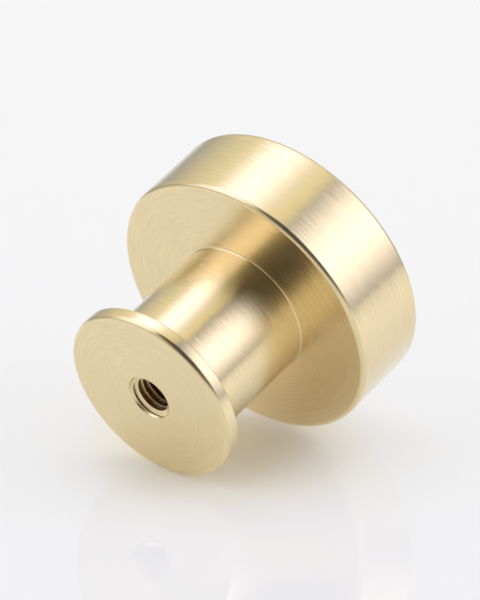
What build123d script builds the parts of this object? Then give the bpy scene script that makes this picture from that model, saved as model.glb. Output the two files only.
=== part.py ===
from build123d import *
import math
import os

# A cabinet knob turned from one bar of brass: a thin round base that seats on the door, a plain stem
# and a thick disc of a head. The fixing screw comes through the door into a tapped hole in the base.
# Sizes are in millimetres. The turning axis is Y. The origin is the centre of the base's face, which
# lies in the plane y = 0 and faces +Y, into the door. The head stands out towards -Y, and +Z is up.

# Base
base_diameter = 20.8
base_thickness = 1.8
base_face_edge = 0.6  # rounding of the rim's edge against the door
base_back_chamfer = 0.2  # on the rim's edge on the stem's side

# Stem
stem_diameter = 15.6
stem_length = 14.4  # from the base's back to the head's back
stem_fillet = 0.2  # left by the nose of the turning tool where the stem meets the head

# Head
head_diameter = 32.0
head_thickness = 9.8
head_edge = 0.6  # rounding of both edges of the head's rim

# Tapped hole, bored for an M5 coarse thread
thread_diameter = 5.0
thread_pitch = 0.8
bore_depth = 14.0  # from the base's face to the end of the bore's straight wall
countersink_diameter = 5.2
countersink_angle = 120.0
drill_point_angle = 118.0

# Radii and places along the axis that follow from the sizes
base_radius = base_diameter / 2
stem_radius = stem_diameter / 2
head_radius = head_diameter / 2
base_back = -base_thickness
head_back = base_back - stem_length
head_front = head_back - head_thickness
bore_radius = (thread_diameter - thread_pitch) / 2
countersink_radius = countersink_diameter / 2
countersink_depth = (countersink_radius - bore_radius) / math.tan(math.radians(countersink_angle / 2))
drill_point_length = bore_radius / math.tan(math.radians(drill_point_angle / 2))

# Corners of the turned body's half section, in radius and place along the axis
base_face_corner = (base_radius, 0)
base_back_corner = (base_radius, base_back)
stem_base_corner = (stem_radius, base_back)
stem_head_corner = (stem_radius, head_back)
head_back_corner = (head_radius, head_back)
head_front_corner = (head_radius, head_front)

with BuildPart() as knob:
    # Turned body
    with BuildSketch() as half_section:
        with BuildLine():
            Polyline(
                (0, 0),
                base_face_corner,
                base_back_corner,
                stem_base_corner,
                stem_head_corner,
                head_back_corner,
                head_front_corner,
                (0, head_front),
                close=True,
            )
        make_face()
        for corner, rounding in (
            (base_face_corner, base_face_edge),
            (stem_head_corner, stem_fillet),
            (head_back_corner, head_edge),
            (head_front_corner, head_edge),
        ):
            fillet(half_section.vertices().sort_by_distance(corner)[0], radius=rounding)
        chamfer(half_section.vertices().sort_by_distance(base_back_corner)[0], length=base_back_chamfer)
    revolve(axis=Axis.Y)

    # Tapped hole: countersunk mouth, straight bore and the cone left by the drill's point
    with BuildSketch():
        with BuildLine():
            Polyline(
                (0, 0),
                (countersink_radius, 0),
                (bore_radius, -countersink_depth),
                (bore_radius, -bore_depth),
                (0, -bore_depth - drill_point_length),
                close=True,
            )
        make_face()
    revolve(axis=Axis.Y, mode=Mode.SUBTRACT)

os.makedirs("parts", exist_ok=True)
export_step(knob.part, "parts/knob.step")
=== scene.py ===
import math

import bmesh
import bpy
from mathutils import Matrix, Vector


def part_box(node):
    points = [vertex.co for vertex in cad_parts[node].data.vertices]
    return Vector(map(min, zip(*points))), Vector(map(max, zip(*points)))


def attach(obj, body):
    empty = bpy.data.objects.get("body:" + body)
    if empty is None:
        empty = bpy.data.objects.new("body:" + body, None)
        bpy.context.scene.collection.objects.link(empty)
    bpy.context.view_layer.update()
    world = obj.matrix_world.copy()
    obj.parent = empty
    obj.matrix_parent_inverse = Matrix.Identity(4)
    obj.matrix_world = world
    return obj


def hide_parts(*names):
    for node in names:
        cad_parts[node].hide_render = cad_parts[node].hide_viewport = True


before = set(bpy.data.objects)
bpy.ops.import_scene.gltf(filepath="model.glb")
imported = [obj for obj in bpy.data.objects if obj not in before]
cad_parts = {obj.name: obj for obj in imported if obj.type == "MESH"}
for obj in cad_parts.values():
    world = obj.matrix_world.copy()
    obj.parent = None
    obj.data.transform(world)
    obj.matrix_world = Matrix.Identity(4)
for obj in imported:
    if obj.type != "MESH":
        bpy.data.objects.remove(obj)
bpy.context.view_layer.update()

# Knob
# A cabinet knob turned in one piece from a brass bar: a thin base flange, a straight stem and a drum head.
# The sharp edges are broken on the lathe, and the blind hole in the base face is drilled, countersunk and
# tapped for the screw that holds the knob through the door.
MM = 0.001  # sizes are written in millimetres
box_low, box_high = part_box("knob")
head_radius = (box_high.x - box_low.x) / 2 / MM
projection = (box_high.y - box_low.y) / MM
base_radius = 10.4
base_thickness = 1.8
stem_radius = 7.8
head_back = 16.2
base_face_edge = 0.6
base_back_chamfer = 0.2
stem_fillet = 0.2
head_edge = 0.6
bore_radius = 2.1
bore_depth = 14.0
drill_point_angle = 118.0
bore_point_depth = bore_depth + bore_radius / math.tan(math.radians(drill_point_angle / 2))
mouth_radius = 2.68
mouth_angle = 82.0
countersink_radius = 2.5
countersink_angle = 136.0
mouth_depth = (mouth_radius - countersink_radius) / math.tan(math.radians(mouth_angle / 2))
countersink_depth = mouth_depth + (
    (countersink_radius - bore_radius) / math.tan(math.radians(countersink_angle / 2)))
turning_steps = 192
sharp_from_angle = 25.0

half_section = {  # radius and place along the axis
    "drill point": (0, -bore_point_depth),
    "bore end": (bore_radius, -bore_depth),
    "bore mouth": (bore_radius, -countersink_depth),
    "countersink rim": (countersink_radius, -mouth_depth),
    "mouth rim": (mouth_radius, 0),
    "base face edge": (base_radius, 0),
    "base back edge": (base_radius, -base_thickness),
    "stem foot": (stem_radius, -base_thickness),
    "stem top": (stem_radius, -head_back),
    "head back edge": (head_radius, -head_back),
    "head front edge": (head_radius, -projection),
    "head front centre": (0, -projection),
}
edge_breaks = {  # size and number of segments
    "base face edge": (base_face_edge, 8),
    "base back edge": (base_back_chamfer, 1),
    "stem top": (stem_fillet, 6),
    "head back edge": (head_edge, 8),
    "head front edge": (head_edge, 8),
}


def new_piece(name, bm):
    """Turns a mesh under construction into an object of the scene."""
    mesh = bpy.data.meshes.new(name)
    bm.to_mesh(mesh)
    bm.free()
    piece = bpy.data.objects.new(name, mesh)
    bpy.context.scene.collection.objects.link(piece)
    return piece


def apply_modifiers(piece):
    """Makes what the modifiers show the piece's own mesh."""
    depsgraph = bpy.context.evaluated_depsgraph_get()
    finished = bpy.data.meshes.new_from_object(piece.evaluated_get(depsgraph), depsgraph=depsgraph)
    piece.modifiers.clear()
    piece.data = finished


turning = bmesh.new()
corners = {name: turning.verts.new((radius, y, 0)) for name, (radius, y) in half_section.items()}
chain = list(corners.values())
for start, end in zip(chain, chain[1:]):
    turning.edges.new((start, end))
for name, (size, segments) in edge_breaks.items():
    bmesh.ops.bevel(turning, geom=[corners[name]], offset=size, affect="VERTICES", segments=segments,
                    profile=0.5, material=-1)
bmesh.ops.spin(turning, geom=turning.verts[:] + turning.edges[:], axis=(0, 1, 0), angle=math.tau,
               steps=turning_steps, use_merge=True)
bmesh.ops.remove_doubles(turning, verts=turning.verts, dist=1e-4)
bmesh.ops.recalc_face_normals(turning, faces=turning.faces)
knob = new_piece("knob_body", turning)

# The tap that cuts the thread: one pitch of its profile, swept up a right-hand helix from the last full
# thread to just outside the face.
thread_pitch = 0.8
thread_angle = 60.0
thread_root_radius = 2.62
thread_end_depth = 12.1
tap_core_radius = 2.05
root_flat = thread_pitch / 8
flank = (thread_root_radius - tap_core_radius) * math.tan(math.radians(thread_angle / 2))
thread_turns = 16
steps_per_turn = 64

tap_profile = (
    (tap_core_radius, 0),
    (tap_core_radius, thread_pitch - root_flat - 2 * flank),
    (thread_root_radius, thread_pitch - root_flat - flank),
    (thread_root_radius, thread_pitch - flank),
    (tap_core_radius, thread_pitch),
)
tap_turning = bmesh.new()
chain = [tap_turning.verts.new((radius, y - thread_end_depth, 0)) for radius, y in tap_profile]
for start, end in zip(chain, chain[1:]):
    tap_turning.edges.new((start, end))
bmesh.ops.spin(tap_turning, geom=tap_turning.verts[:] + tap_turning.edges[:], axis=(0, 1, 0),
               angle=math.tau * thread_turns, steps=steps_per_turn * thread_turns,
               dvec=(0, thread_pitch / steps_per_turn, 0))
bmesh.ops.remove_doubles(tap_turning, verts=tap_turning.verts, dist=1e-4)
open_ends = [edge for edge in tap_turning.edges if edge.is_boundary]
end_caps = bmesh.ops.edgeloop_fill(tap_turning, edges=open_ends)["faces"]
bmesh.ops.poke(tap_turning, faces=end_caps)
bmesh.ops.recalc_face_normals(tap_turning, faces=tap_turning.faces)
tap = new_piece("tap", tap_turning)

tapping = knob.modifiers.new("Tapped thread", "BOOLEAN")
tapping.operation = "DIFFERENCE"
tapping.solver = "EXACT"
tapping.object = tap
apply_modifiers(knob)
bpy.data.objects.remove(tap)
knob.data.transform(Matrix.Scale(MM, 4))
knob.data.shade_smooth()
knob.data.set_sharp_from_angle(angle=math.radians(sharp_from_angle))
knob.modifiers.new("Flat faces stay flat", "WEIGHTED_NORMAL").keep_sharp = True
apply_modifiers(knob)


def linear(hex_colour):
    """Scene-linear RGBA of an sRGB hex colour."""
    channels = [int(hex_colour[i:i + 2], 16) / 255 for i in (1, 3, 5)]
    return [c / 12.92 if c <= 0.04045 else ((c + 0.055) / 1.055) ** 2.4 for c in channels] + [1.0]


def add_node(tree, kind, inputs=None, **settings):
    """Adds a node with its settings; inputs gives each socket a value or another node's output."""
    node = tree.nodes.new(kind)
    for name, value in settings.items():
        setattr(node, name, value)
    for socket, value in (inputs or {}).items():
        if isinstance(value, bpy.types.NodeSocket):
            tree.links.new(value, node.inputs[socket])
        else:
            node.inputs[socket].default_value = value
    return node


# Satin brushed brass under clear lacquer: the lathe and a fine abrasive leave hair lines round the axis, on
# the cylinders and, as rings, on the faces. They draw each highlight out across the lines and fray its
# ends, and the lacquer whitens it where the surface turns away. The lines are drawn a little coarser than
# the real ones, so that they show. Down the hole the colour turns to a darker brass, a painted shade.
pale_brass = "#F8E3AF"
deep_brass = "#E8D3A1"
# painted shade: a darker brass for the dim inside of the hole
bore_shade_brass = "#C8A468"
line_width = 0.1
lines_per_radian = 4.0
line_lean = 0.16  # slope by which the lines tip the surface round the axis
line_height = 0.002
faint_line, strong_line = 0.3, 0.7
smoothest, roughest = 0.21, 0.26
bore_middle = Vector((0, -8.0, 0))
bore_shade_from, bore_shade_to = 7.6, 5.6  # distances from the bore's middle
mix_first, mix_second, mix_result = 6, 7, 2  # the Mix node's colour sockets, which share their names

brass = bpy.data.materials.new("lacquered satin brass")
brass.use_nodes = True
tree = brass.node_tree
tree.nodes.clear()
place = add_node(tree, "ShaderNodeTexCoord").outputs["Object"]
across = add_node(tree, "ShaderNodeVectorMath", {0: place, 1: (1, 0, 1)}, operation="MULTIPLY").outputs[0]
radius = add_node(tree, "ShaderNodeVectorMath", {0: across}, operation="LENGTH").outputs["Value"]
bearing = add_node(tree, "ShaderNodeVectorMath", {0: across}, operation="NORMALIZE").outputs[0]
round_place = add_node(tree, "ShaderNodeVectorMath", {0: bearing, 1: (lines_per_radian,) * 3},
                       operation="MULTIPLY").outputs[0]
axis_place = add_node(tree, "ShaderNodeVectorMath", {0: place, 1: (0, 1 / (line_width * MM), 0)},
                      operation="MULTIPLY").outputs[0]
ring_place = add_node(tree, "ShaderNodeMath", {0: radius, 1: 1 / (line_width * MM)},
                      operation="MULTIPLY").outputs[0]
line_place = add_node(tree, "ShaderNodeVectorMath", {0: round_place, 1: axis_place},
                      operation="ADD").outputs[0]
lines = add_node(tree, "ShaderNodeTexNoise", {
    "Vector": line_place, "W": ring_place, "Scale": 1.0, "Detail": 2.0, "Roughness": 0.6},
    noise_dimensions="4D").outputs["Fac"]
line_tone = add_node(tree, "ShaderNodeMapRange", {
    "Value": lines, "From Min": faint_line, "From Max": strong_line}).outputs["Result"]
round_axis = add_node(tree, "ShaderNodeTangent", direction_type="RADIAL", axis="Y").outputs["Tangent"]
lean_amount = add_node(tree, "ShaderNodeMapRange", {
    "Value": lines, "To Min": -line_lean / 2, "To Max": line_lean / 2}).outputs["Result"]
lean_vector = add_node(tree, "ShaderNodeVectorMath", {0: round_axis, "Scale": lean_amount},
                       operation="SCALE").outputs[0]
smooth = add_node(tree, "ShaderNodeNewGeometry").outputs["Normal"]
leaning = add_node(tree, "ShaderNodeVectorMath", {0: smooth, 1: lean_vector}, operation="ADD").outputs[0]
ridges = add_node(tree, "ShaderNodeBump", {
    "Height": lines, "Strength": 1.0, "Distance": line_height * MM, "Normal": leaning}).outputs["Normal"]
roughness = add_node(tree, "ShaderNodeMapRange", {
    "Value": line_tone, "To Min": smoothest, "To Max": roughest}).outputs["Result"]
lined_colour = add_node(tree, "ShaderNodeMix", {
    "Factor": line_tone, mix_first: linear(deep_brass), mix_second: linear(pale_brass)},
    data_type="RGBA").outputs[mix_result]
from_bore = add_node(tree, "ShaderNodeVectorMath", {0: place, 1: bore_middle * MM},
                     operation="DISTANCE").outputs["Value"]
# Painted shade: towards the bore's middle the lined colour gives way to the darker brass.
bore_shade_share = add_node(tree, "ShaderNodeMapRange", {
    "Value": from_bore, "From Min": bore_shade_from * MM, "From Max": bore_shade_to * MM}).outputs["Result"]
colour = add_node(tree, "ShaderNodeMix", {
    "Factor": bore_shade_share, mix_first: lined_colour, mix_second: linear(bore_shade_brass)},
    data_type="RGBA").outputs[mix_result]
surface = add_node(tree, "ShaderNodeBsdfPrincipled", {
    "Base Color": colour, "Metallic": 1.0, "Roughness": roughness, "Normal": ridges,
    "Anisotropic": 0.85, "Anisotropic Rotation": 0.25, "Tangent": round_axis,
    "Coat Weight": 1.0, "Coat Roughness": 0.24})
add_node(tree, "ShaderNodeOutputMaterial", {"Surface": surface.outputs["BSDF"]})
knob.data.materials.clear()
knob.data.materials.append(brass)
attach(knob, "root")
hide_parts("knob")

# Floor
# The sheet of glossy white board that the knob lies on, with its base flange and its head touching, so that
# against the knob's own upright frame it leans. It glows as if lit through from below, less so at flat
# angles, where its gloss keeps that light in. Close to the knob the glow is turned down and the colour
# warmed: a painted shadow, with painted warm light thrown back by the brass. It shows from above only.
floor_half = 330.0
lean = math.atan((head_radius - base_radius) / head_back)
floor_up = Vector((0, -math.sin(lean), math.cos(lean)))
floor_depth = 9.72  # from the knob's origin, square to the board
board_in_painted_shadow = {"colour": "#FFF9DC", "glow": 0.12}  # painted shadow, warmed with painted light thrown back by the brass
board_far = {"colour": "#9E9E9D", "glow": 0.565}
board_ior = 1.45
kept_in_from = 0.19  # mirrored share of light from which the gloss keeps the glow in
# Painted shadow: from the shadow's middle out to these distances the board turns from its near colour and
# glow to its far ones.
fade_start = 4.0
fade_end = 20.0
shadow_middle = Vector((0, -12.0, 0))
shadow_middle -= floor_up * (floor_depth + shadow_middle.dot(floor_up))

floor_sheet = bmesh.new()
bmesh.ops.create_grid(floor_sheet, x_segments=1, y_segments=1, size=floor_half * MM)
bmesh.ops.rotate(floor_sheet, verts=floor_sheet.verts, matrix=Matrix.Rotation(lean, 3, "X"))
bmesh.ops.translate(floor_sheet, verts=floor_sheet.verts, vec=-floor_up * floor_depth * MM)
floor = new_piece("floor", floor_sheet)

white_board = bpy.data.materials.new("glossy white board")
white_board.use_nodes = True
tree = white_board.node_tree
tree.nodes.clear()
place = add_node(tree, "ShaderNodeTexCoord").outputs["Object"]
from_shadow = add_node(tree, "ShaderNodeVectorMath", {0: place, 1: shadow_middle * MM},
                       operation="DISTANCE").outputs["Value"]
# Painted shadow: how far each spot has turned from the near board to the far one.
fade = add_node(tree, "ShaderNodeMapRange", {
    "Value": from_shadow, "From Min": fade_start * MM, "From Max": fade_end * MM},
    interpolation_type="SMOOTHSTEP").outputs["Result"]
board_colour = add_node(tree, "ShaderNodeMix", {
    "Factor": fade, mix_first: linear(board_in_painted_shadow["colour"]), mix_second: linear(board_far["colour"])},
    data_type="RGBA").outputs[mix_result]
glow = add_node(tree, "ShaderNodeMapRange", {
    "Value": fade, "To Min": board_in_painted_shadow["glow"], "To Max": board_far["glow"]}).outputs["Result"]
ray = add_node(tree, "ShaderNodeLightPath").outputs
seen = add_node(tree, "ShaderNodeMath", {0: ray["Is Camera Ray"], 1: ray["Is Glossy Ray"]},
                operation="MAXIMUM").outputs[0]
seen = add_node(tree, "ShaderNodeMath", {0: seen, 1: ray["Is Transmission Ray"]},
                operation="MAXIMUM").outputs[0]
gloss = add_node(tree, "ShaderNodeFresnel", {"IOR": board_ior}).outputs["Fac"]
let_through = add_node(tree, "ShaderNodeMapRange", {
    "Value": gloss, "From Min": kept_in_from, "To Min": 1.0, "To Max": 0.0}).outputs["Result"]
glow = add_node(tree, "ShaderNodeMath", {0: glow, 1: let_through}, operation="MULTIPLY").outputs[0]
seen_glow = add_node(tree, "ShaderNodeMath", {0: seen, 1: glow}, operation="MULTIPLY").outputs[0]
surface = add_node(tree, "ShaderNodeBsdfPrincipled", {
    "Base Color": board_colour, "Roughness": 0.03, "IOR": board_ior,
    "Emission Color": linear("#FFFFFF"), "Emission Strength": seen_glow})
see_through = add_node(tree, "ShaderNodeBsdfTransparent")
underside = add_node(tree, "ShaderNodeNewGeometry").outputs["Backfacing"]
one_sided = add_node(tree, "ShaderNodeMixShader", {
    0: underside, 1: surface.outputs[0], 2: see_through.outputs[0]})
add_node(tree, "ShaderNodeOutputMaterial", {"Surface": one_sided.outputs[0]})
floor.data.materials.append(white_board)

# Studio light
# Three cloth-fronted softboxes stand on the left, on the right and over the knob, each brightest in its
# middle, and a dark card keeps the camera's side dark. The pale room, lighter overhead, lights the rest.
view_azimuth = math.radians(227.11)
view_elevation = math.radians(36.33)
towards_camera = Vector((math.sin(view_azimuth) * math.cos(view_elevation),
                         -math.cos(view_azimuth) * math.cos(view_elevation), math.sin(view_elevation)))
camera_right = floor_up.cross(towards_camera).normalized()
away = floor_up.cross(camera_right)
knob_middle = Vector((0, -projection / 2, 0))
panel_distance = 700.0
cloth_colour = "#E9E9FF"
edge_level_from = 0.6
panels = {  # angles in degrees as seen from the knob, and levels of light
    "right_softbox": {"bearing": 96.7, "height": 32.0, "across": 67.8, "tall": 66.5,
                      "middle": 2.42, "edge": 0.63},
    "top_softbox": {"bearing": -30.5, "height": 71.0, "across": 53.0, "tall": 40.0,
                    "middle": 2.62, "edge": 1.2},
    "left_softbox": {"bearing": 257.6, "height": 38.0, "across": 44.6, "tall": 56.0,
                     "middle": 1.88, "edge": 1.36},
    "dark_card": {"bearing": 166.4, "height": 38.3, "across": 83.0, "tall": 75.8,
                  "middle": 0.08, "edge": 0.08},
}


def studio_direction(bearing, height):
    """Direction from the knob, with the bearing clockwise from straight away from the camera."""
    bearing, height = math.radians(bearing), math.radians(height)
    level = away * math.cos(bearing) + camera_right * math.sin(bearing)
    return level * math.cos(height) + floor_up * math.sin(height)


for name, panel in panels.items():
    out = studio_direction(panel["bearing"], panel["height"])
    side = floor_up.cross(out).normalized()
    stand = Matrix.Translation((knob_middle + out * panel_distance) * MM)
    turn = Matrix((side, out.cross(side), out)).transposed().to_4x4()
    half_size = [panel_distance * MM * math.tan(math.radians(panel[angle] / 2))
                 for angle in ("across", "tall")]
    front = bmesh.new()
    front.loops.layers.uv.new("front")
    bmesh.ops.create_grid(front, x_segments=1, y_segments=1, size=1, calc_uvs=True,
                          matrix=stand @ turn @ Matrix.Diagonal((*half_size, 1, 1)))
    sheet = new_piece(name, front)
    front_glow = bpy.data.materials.new(name.replace("_", " ") + " front")
    front_glow.use_nodes = True
    tree = front_glow.node_tree
    tree.nodes.clear()
    spot = add_node(tree, "ShaderNodeUVMap", uv_map="front").outputs["UV"]
    from_middle = add_node(tree, "ShaderNodeVectorMath", {0: spot, 1: (0.5, 0.5, 0)},
                           operation="DISTANCE").outputs["Value"]
    strength = add_node(tree, "ShaderNodeMapRange", {
        "Value": from_middle, "From Min": 0.0, "From Max": edge_level_from,
        "To Min": panel["middle"], "To Max": panel["edge"]},
        interpolation_type="SMOOTHSTEP").outputs["Result"]
    light = add_node(tree, "ShaderNodeEmission", {"Color": linear(cloth_colour), "Strength": strength})
    add_node(tree, "ShaderNodeOutputMaterial", {"Surface": light.outputs[0]})
    sheet.data.materials.append(front_glow)
    sheet.visible_camera = False

horizon = {"colour": "#FFFEFA", "level": 0.39}
overhead = {"colour": "#FFFADF", "level": 1.04}
overhead_from = 0.9
world = bpy.data.worlds.new("studio")
bpy.context.scene.world = world
world.use_nodes = True
tree = world.node_tree
tree.nodes.clear()
direction = add_node(tree, "ShaderNodeTexCoord").outputs["Generated"]
upward = add_node(tree, "ShaderNodeVectorMath", {0: direction, 1: floor_up},
                  operation="DOT_PRODUCT").outputs["Value"]
rise = add_node(tree, "ShaderNodeMapRange", {
    "Value": upward, "From Min": 0.0, "From Max": overhead_from}).outputs["Result"]
room_level = add_node(tree, "ShaderNodeMapRange", {
    "Value": rise, "To Min": horizon["level"], "To Max": overhead["level"]}).outputs["Result"]
room_colour = add_node(tree, "ShaderNodeMix", {
    "Factor": rise, mix_first: linear(horizon["colour"]), mix_second: linear(overhead["colour"])},
    data_type="RGBA").outputs[mix_result]
room = add_node(tree, "ShaderNodeBackground", {"Color": room_colour, "Strength": room_level})
add_node(tree, "ShaderNodeOutputWorld", {"Surface": room.outputs[0]})

# Camera
# A camera with a long lens, upright to the floor and at the photograph's viewing angle. Its distance, aim
# and lens are fitted to the knob's outline in the photograph.
view_distance = 427.92
aim = Vector((-0.63, -15.57, 1.75))
lens = 241.84

camera_up = towards_camera.cross(camera_right)
camera = bpy.data.objects.new("camera", bpy.data.cameras.new("camera"))
camera.data.lens = lens
camera.matrix_world = Matrix.Translation((aim + towards_camera * view_distance) * MM) @ Matrix(
    (camera_right, camera_up, towards_camera)).transposed().to_4x4()
bpy.context.scene.collection.objects.link(camera)
bpy.context.scene.camera = camera
bpy.context.scene.view_settings.view_transform = "Standard"
